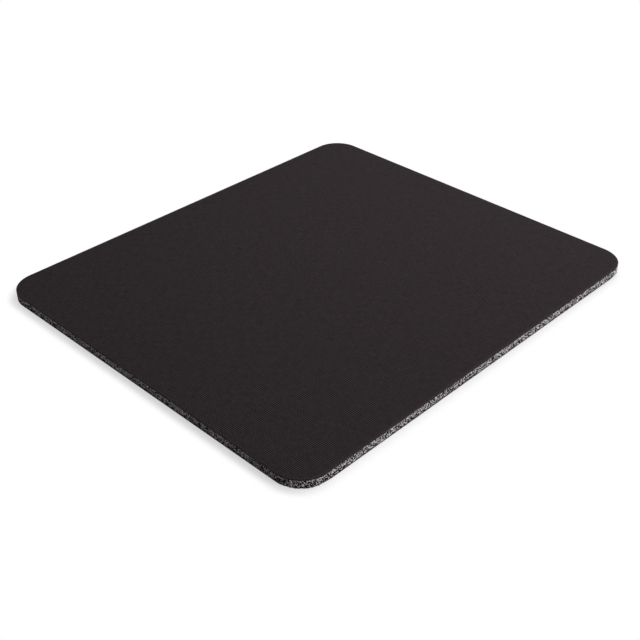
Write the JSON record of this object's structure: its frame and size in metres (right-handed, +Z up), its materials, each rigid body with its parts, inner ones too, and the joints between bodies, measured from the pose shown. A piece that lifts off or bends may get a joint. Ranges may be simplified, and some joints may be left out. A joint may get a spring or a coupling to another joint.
{
  "type": "mouse pad",
  "caption": "Flat mouse pad with rounded corners: a knitted cloth face bonded to a sponge rubber slab, with a non-slip skin underneath. It lies loose on a desk.",
  "frame": {"origin": "middle of the underside, on the desk", "axes": "+X along the long side, +Y along the short side, +Z up out of the cloth face"},
  "size_m": [0.23, 0.2, 0.0048],
  "materials": {
    "moulded_rubber_skin": "matte",
    "sponge_rubber": "open cut cells",
    "hot_melt_adhesive": "satin",
    "knitted_cloth": "fine matte knit"
  },
  "bodies": {
    "root": {"grip_skin": "moulded_rubber_skin", "foam_slab": "sponge_rubber", "adhesive_film": "hot_melt_adhesive", "cloth_face": "knitted_cloth"}
  },
  "joints": []
}
